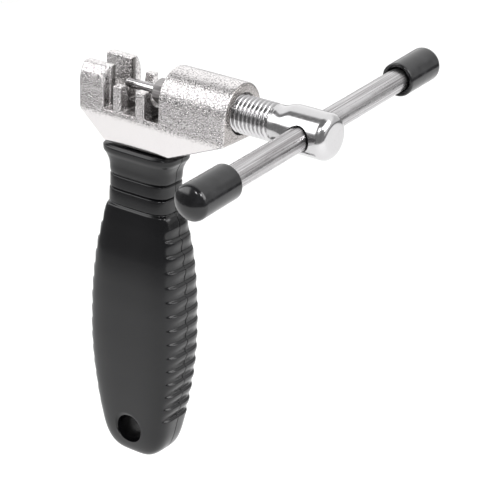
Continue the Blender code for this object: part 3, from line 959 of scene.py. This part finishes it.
@dataclass
class Spindle:
    """The threaded spindle with its cross-drilled head, and the pin and holder in its nose."""

    face: float
    head_radius: float = 6.05 * MM
    head_rounding: float = 2.4 * MM
    thread_radius: float = 5.0 * MM
    thread_depth: float = 0.68 * MM
    thread_pitch: float = 1.25 * MM
    thread_start: float = -17.5 * MM
    thread_end: float = 11.0 * MM
    neck_radius: float = 4.88 * MM
    flare_start: float = -16.4 * MM
    flare_end: float = -11.4 * MM
    nose_radius: float = 3.5 * MM
    nose_end: float = -23.3 * MM
    socket_radius: float = 2.5 * MM
    socket_end: float = -16.0 * MM
    cross_hole_radius: float = 3.5 * MM
    segments: int = 80
    rows_per_turn: int = 12
    hex_flats: float = 6.0 * MM
    hex_turn: float = math.radians(16.0)
    hex_tip: float = -26.8 * MM
    hex_end: float = -23.6 * MM
    shank_radius: float = 2.2 * MM
    shank_end: float = -16.6 * MM
    pin_radius: float = 1.3 * MM
    pin_tip: float = -37.0 * MM
    pin_end: float = -20.3 * MM
    pin_bore_radius: float = 1.4 * MM

    def thread(self, x: np.ndarray, angle: np.ndarray) -> np.ndarray:
        """Gives the thread's radius, with flat crests and rounded roots.

        Args:
            x: places along the axis.
            angle: angles round it.

        Returns:
            The radius at each place and angle.
        """
        start, end = self.face + self.thread_start, self.face + self.thread_end
        turn = (x / self.thread_pitch - angle / (2 * np.pi)) % 1.0
        flank = np.clip((np.abs(2 * turn - 1) - 0.10) / 0.74, 0, 1)
        eased = flank + 0.10 * np.sin(2 * np.pi * flank) * -0.5
        fade = np.clip(np.minimum((x - start) / self.thread_pitch, (end - x) / (0.8 * self.thread_pitch)), 0, 1)
        root = self.thread_radius - self.thread_depth
        floor = np.where(x > end - 3 * self.thread_pitch, 1 - fade, 0) * (self.neck_radius - root)
        return root + floor + (self.thread_depth - floor) * eased * fade

    def shaft(self) -> bpy.types.Object:
        """Lofts the whole spindle: nose, thread, flare and head.

        Returns:
            The solid, before it is drilled.
        """
        start, end = self.face + self.thread_start, self.face + self.thread_end
        nose = self.face + self.nose_end
        angle = np.linspace(0, 2 * np.pi, self.segments, endpoint=False)
        profile = corner(nose + 0.4 * MM, self.nose_radius - 0.4 * MM, 0.4 * MM, 180, 90)
        root = self.thread_radius - self.thread_depth
        profile += [(start - 1.0 * MM, self.nose_radius), (start - 0.2 * MM, root - 0.1 * MM)]
        rings = [(x, np.full(self.segments, r)) for x, r in profile]
        count = round((end - start) / self.thread_pitch * self.rows_per_turn)
        for x in np.linspace(start, end, count + 1):
            rings.append((x, self.thread(np.full(self.segments, x), angle)))
        for t in np.linspace(0, 1, 15):
            eased = t**2 * (3 - 2 * t)
            radius = self.neck_radius + (self.head_radius - self.neck_radius) * eased
            x = self.flare_start + t * (self.flare_end - self.flare_start)
            rings.append((x, np.full(self.segments, radius)))
        size = self.head_rounding
        head = [(-2.0 * size, self.head_radius), (-1.2 * size, self.head_radius)]
        head += corner(-size, self.head_radius - size, size, 90, 4, 14)
        head += [(0.0, self.head_radius - 1.08 * size), (-0.02 * MM, 2.4 * MM), (-0.05 * MM, 0.8 * MM)]
        rings += [(x, np.full(self.segments, r)) for x, r in head]
        points = np.empty((len(rings), self.segments, 3))
        for row, (x, radius) in enumerate(rings):
            points[row, :, 0] = x
            points[row, :, 1] = radius * np.cos(angle)
            points[row, :, 2] = radius * np.sin(angle)
        return loft("spindle_screw", points)

    def build_spindle(self) -> None:
        """Builds the spindle, drills it for the bar and bores its nose."""
        spindle = self.shaft()
        radius = self.cross_hole_radius
        hole = turned("cross_hole", [(-FAR, radius), (FAR, radius)], 96)
        hole.data.transform(bar_axis())
        combine(spindle, hole)
        mouth, bottom = self.face + self.nose_end - MM, self.face + self.socket_end
        socket = [(mouth, self.socket_radius), (bottom, self.socket_radius)]
        combine(spindle, turned("socket", socket, 48))
        place(spindle, Body.SCREW, "spindle", SPINDLE_STEEL, 40.0)

    def build_holder(self) -> None:
        """Builds the hexagonal holder: chamfered hexagon, plain shank and the pin's bore."""
        tip, end = self.face + self.hex_tip, self.face + self.hex_end
        corner_radius = self.hex_flats / math.sqrt(3)
        first_corner = math.pi / 6 - self.hex_turn
        holder = turned("pin_holder_hex", [(tip, corner_radius), (end, corner_radius)], 6, first_corner)
        ease = holder.modifiers.new("ease", "BEVEL")
        ease.width, ease.segments = 0.12 * MM, 2
        settle(holder)
        round_off = [(tip, self.hex_flats / 2 - 0.1 * MM), (tip + 0.45 * MM, corner_radius + 0.05 * MM)]
        round_off += [(end - 0.45 * MM, corner_radius + 0.05 * MM), (end, self.hex_flats / 2 - 0.1 * MM)]
        combine(holder, turned("round_off", round_off, 72), Cut.SHARED)
        last, radius, chamfer = self.face + self.shank_end, self.shank_radius, 0.3 * MM
        shank = [(end - MM, radius), (last - chamfer, radius), (last, radius - chamfer)]
        combine(holder, turned("shank", shank, 64), Cut.JOIN)
        bore = [(tip - MM, self.pin_bore_radius), (self.face - 20.0 * MM, self.pin_bore_radius)]
        combine(holder, turned("pin_bore", bore, 48))
        place(holder, Body.SCREW, "pin_holder", HOLDER_STEEL, 25.0)

    def build_pin(self) -> None:
        """Builds the ground pin with rounded ends."""
        tip, end = self.face + self.pin_tip, self.face + self.pin_end
        size = 0.3 * MM
        profile = [(tip, 0.25 * MM)] + corner(tip + size, self.pin_radius - size, size, 180, 90)
        profile += corner(end - size, self.pin_radius - size, size, 90, 0) + [(end, 0.25 * MM)]
        place(turned("drive_pin_ground", profile, 48), Body.PIN, "drive_pin", PIN_STEEL)

    def build(self) -> None:
        """Builds the spindle, the holder and the pin."""
        self.build_spindle()
        self.build_holder()
        self.build_pin()


# ---------------------------------------------------------------------------- the cross bar


def bar_axis() -> Matrix:
    """Gives the turn and move that lay a solid made about X along the bar."""
    leant = Matrix.Translation((BAR_X, 0, 0)) @ Matrix.Rotation(BAR_TILT, 4, "X")
    return leant @ Matrix.Rotation(math.pi / 2, 4, "Z")


@dataclass
class CrossBar:
    """The sliding tommy bar and the soft cap on each of its ends."""

    radius: float = 3.1 * MM
    near: float = -51.2 * MM
    far: float = 57.6 * MM
    cap_radius: float = 4.65 * MM
    cap_bore_radius: float = 3.3 * MM
    cap_length: float = 16.4 * MM
    cap_wall: float = 1.6 * MM
    cap_gap: float = 0.3 * MM
    crown_radius: float = 6.4 * MM
    edge_radius: float = 1.9 * MM

    def build_bar(self) -> None:
        """Builds the rod with its eased ends."""
        size = 0.5 * MM
        low, high = self.near + self.cap_wall + self.cap_gap, self.far - self.cap_wall - self.cap_gap
        profile = [(low, 0.5 * MM)] + corner(low + size, self.radius - size, size, 180, 90)
        profile += [(x, self.radius) for x in np.linspace(low + 2 * MM, high - 2 * MM, 12)]
        profile += corner(high - size, self.radius - size, size, 90, 0) + [(high, 0.5 * MM)]
        bar = turned("tommy_bar_rod", profile, 96)
        bar.data.transform(bar_axis())
        place(bar, Body.BAR, "tommy_bar", BAR_STEEL)

    def build_cap(self, name: str, node: str, end: float, inward: int) -> None:
        """Builds one cap: crowned end, straight wall, rolled lip and open bore in one skin.

        Args:
            name: the cap's name.
            node: its CAD node.
            end: the cap's outer end along the bar.
            inward: 1 where the cap's mouth looks towards +, or -1.
        """
        wall, lip = self.cap_radius, 0.45 * MM
        spread = self.crown_radius - self.edge_radius
        meet = math.asin((wall - self.edge_radius) / spread)
        crown = self.crown_radius
        outside = [(crown * (1 - math.cos(a)), crown * math.sin(a)) for a in np.linspace(0.06, meet, 14)]
        middle = self.crown_radius - spread * math.cos(meet)
        outside += [
            (middle - self.edge_radius * math.cos(a), wall - self.edge_radius + self.edge_radius * math.sin(a))
            for a in np.linspace(meet, math.pi / 2, 10)[1:]
        ]
        outside += [(self.cap_length * t, wall - 0.05 * MM * t) for t in (0.4, 0.6, 0.8, 0.93)]
        centre_x, centre_r = self.cap_length - lip, wall - 0.05 * MM - lip
        outside += corner(centre_x, centre_r, lip, 85, -5, 7)
        mouth, bore = self.cap_length, self.cap_bore_radius
        inside = [(mouth - 0.25 * MM, bore + 0.25 * MM), (mouth - 0.7 * MM, bore)]
        inside += [(self.cap_wall, bore), (self.cap_wall, 0.3 * MM)]
        profile = [(end + inward * x, r) for x, r in outside + inside]
        cap = turned(name, profile, 96)
        cap.data.transform(bar_axis())
        place(cap, Body.BAR, node, CAP_VINYL, 60.0)

    def build(self) -> None:
        """Builds the bar and both caps."""
        self.build_bar()
        self.build_cap("near_cap_vinyl", "bar_cap_near", self.near, 1)
        self.build_cap("far_cap_vinyl", "bar_cap_far", self.far, -1)


# ---------------------------------------------------------------------------- the studio


@dataclass
class Studio:
    """A pale floor, a room with bright panels and dark walls, soft lamps and the camera."""

    floor_drop: float = 60.0 * MM
    azimuth: float = math.radians(34.32)
    elevation: float = math.radians(24.28)
    roll: float = math.radians(2.12)
    distance: float = 480.9 * MM
    lens: float = 137.5
    sensor: float = 36.0
    nearest: float = 0.01
    aim: tuple = (-17.1 * MM, -9.95 * MM, -31.2 * MM)
    floor_radius: float = 0.62
    floor_centre: tuple = (0.08, 0.22)
    floor_white: tuple = (0.93, 0.93, 0.93, 1.0)
    wall: float = 0.27  # the dark walls' brightness
    # the front panel: its heights from the front horizon, its sides in X, and its brightness
    panel_heights: tuple = tuple(math.radians(angle) for angle in (16.0, 27.0, 68.0, 76.0))
    panel_sides: tuple = (-1.10, -1.02, -0.44, -0.34)
    panel_light: float = 3.4
    # the back ceiling: where it starts, its brightness, and how it falls off to its right
    ceiling_start: tuple = (math.radians(98.0), math.radians(106.0))
    ceiling_light: float = 1.15
    ceiling_fall: tuple = (math.radians(138.0), math.radians(154.0), 0.0, -0.55)
    ceiling_right: tuple = (-0.25, 0.20)
    # each lamp's name, place, size and power; the two small ones give small moulded edges their sparks
    lamps: tuple = (
        ("over", (0.66, 0.10, 0.52), 0.60, 5.0),
        ("left_spark", (0.14, -0.55, 0.54), 0.12, 1.5),
        ("right_spark", (0.50, -0.24, 0.53), 0.12, 1.5),
    )

    def build_floor(self) -> None:
        """Lays a wide pale floor below the tool."""
        height = CAD_BOX[0][2] - self.floor_drop
        angle = np.linspace(0, 2 * np.pi, 96, endpoint=False)
        across_x, along_y = [np.array(wave) * self.floor_radius for wave in (np.cos(angle), np.sin(angle))]
        ring = [self.floor_centre[0] + across_x, self.floor_centre[1] + along_y, np.full(96, height)]
        floor = mesh_object("floor", np.stack(ring, axis=1), [list(range(96))])
        paint = bpy.data.materials.new("matt_white_floor")
        paint.use_nodes = True
        shader = paint.node_tree.nodes["Principled BSDF"]
        shader.inputs["Base Color"].default_value = self.floor_white
        shader.inputs["Roughness"].default_value = 0.9
        shader.inputs["Specular IOR Level"].default_value = 0.0
        floor.data.materials.append(paint)

    def build_room(self) -> None:
        """Lights the room from a front and a back ceiling panel, with dark walls for metal to show.

        The room is a brightness for each direction: the direction's angle about X from the front
        horizon gives its height in the room, and its X part gives how far it is to the side.
        """
        world = bpy.data.worlds.new("studio_room")
        bpy.context.scene.world = world
        world.use_nodes = True
        tree = world.node_tree
        tree.nodes.clear()
        plus = {"operation": "ADD"}
        point = add_node(tree, "TexCoord", {}, ())
        parts = add_node(tree, "SeparateXYZ", {}, (point["Generated"],))
        front = add_node(tree, "Math", TIMES, (parts[1], -1.0))
        height = add_node(tree, "Math", {"operation": "ARCTAN2"}, (parts[2], front[0]))[0]
        panel = 1.0
        for value, (start, full, fade, end) in ((height, self.panel_heights), (parts[0], self.panel_sides)):
            up = add_node(tree, "MapRange", EASED, (value, start, full, 0.0, 1.0))
            down = add_node(tree, "MapRange", EASED, (value, fade, end, 0.0, -1.0))
            inside = add_node(tree, "Math", plus, (up[0], down[0]))
            panel = add_node(tree, "Math", TIMES, (inside[0], panel))[0]
        panel = add_node(tree, "Math", TIMES, (panel, self.panel_light))
        walls = add_node(tree, "Math", plus, (panel[0], self.wall))
        ceiling = add_node(tree, "MapRange", EASED, (height, *self.ceiling_start, 0.0, self.ceiling_light))
        right = add_node(tree, "MapRange", EASED, (parts[0], *self.ceiling_right, 0.0, 1.0))
        fall = add_node(tree, "MapRange", EASED, (height, *self.ceiling_fall))
        dimmed = add_node(tree, "Math", TIMES, (fall[0], right[0]))
        back = add_node(tree, "Math", plus, (ceiling[0], dimmed[0]))
        light = add_node(tree, "Math", plus, (walls[0], back[0]))
        white = (1.0, 1.0, 1.0, 1.0)
        room = add_node(tree, "Background", {}, (white, light[0]))
        seen = add_node(tree, "Background", {}, (white, 1.0))
        path = add_node(tree, "LightPath", {}, ())
        both = add_node(tree, "MixShader", {}, (path["Is Camera Ray"], room[0], seen[0]))
        add_node(tree, "OutputWorld", {}, {"Surface": both[0]})

    def build_lamps(self) -> None:
        """Hangs the soft lamps, each turned to the tool."""
        aim = Vector(self.aim)
        for name, spot, size, power in self.lamps:
            lamp = bpy.data.lights.new(name, "AREA")
            lamp.shape, lamp.size, lamp.energy = "SQUARE", size, power
            obj = bpy.data.objects.new(name, lamp)
            bpy.context.scene.collection.objects.link(obj)
            turn = (Vector(spot) - aim).to_track_quat("Z", "Y").to_matrix().to_4x4()
            obj.matrix_world = Matrix.Translation(spot) @ turn

    def build_camera(self) -> None:
        """Sets the camera at its angle, turned a little about its own axis."""
        a, e, roll = self.azimuth, self.elevation, self.roll
        back = Vector((math.sin(a) * math.cos(e), -math.cos(a) * math.cos(e), math.sin(e)))
        flat_right = Vector((math.cos(a), math.sin(a), 0.0))
        flat_up = back.cross(flat_right)
        right = math.cos(roll) * flat_right + math.sin(roll) * flat_up
        up = -math.sin(roll) * flat_right + math.cos(roll) * flat_up
        data = bpy.data.cameras.new("camera")
        data.lens, data.sensor_width, data.clip_start = self.lens, self.sensor, self.nearest
        camera = bpy.data.objects.new("camera", data)
        bpy.context.scene.collection.objects.link(camera)
        turn = Matrix((right, up, back)).transposed().to_4x4()
        camera.matrix_world = Matrix.Translation(Vector(self.aim) + back * self.distance) @ turn
        bpy.context.scene.camera = camera

    def build(self) -> None:
        """Builds the floor, room, lamps and camera."""
        self.build_floor()
        self.build_room()
        self.build_lamps()
        self.build_camera()
        bpy.context.scene.view_settings.view_transform = "Standard"
        LOG.info("studio: floor, room, %d lamps and camera", len(self.lamps))


def main() -> None:
    """Builds every sub-assembly in order."""
    logging.basicConfig(level=logging.INFO, format="%(name)s: %(message)s")
    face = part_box("tool_body")[1][0]
    handle_low, handle_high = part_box("handle_front")
    CastHead(face).build()
    Handle((handle_low[0] + handle_high[0]) / 2).build(face)
    Spindle(face).build()
    CrossBar().build()
    Studio().build()


if __name__ == "__main__":
    main()
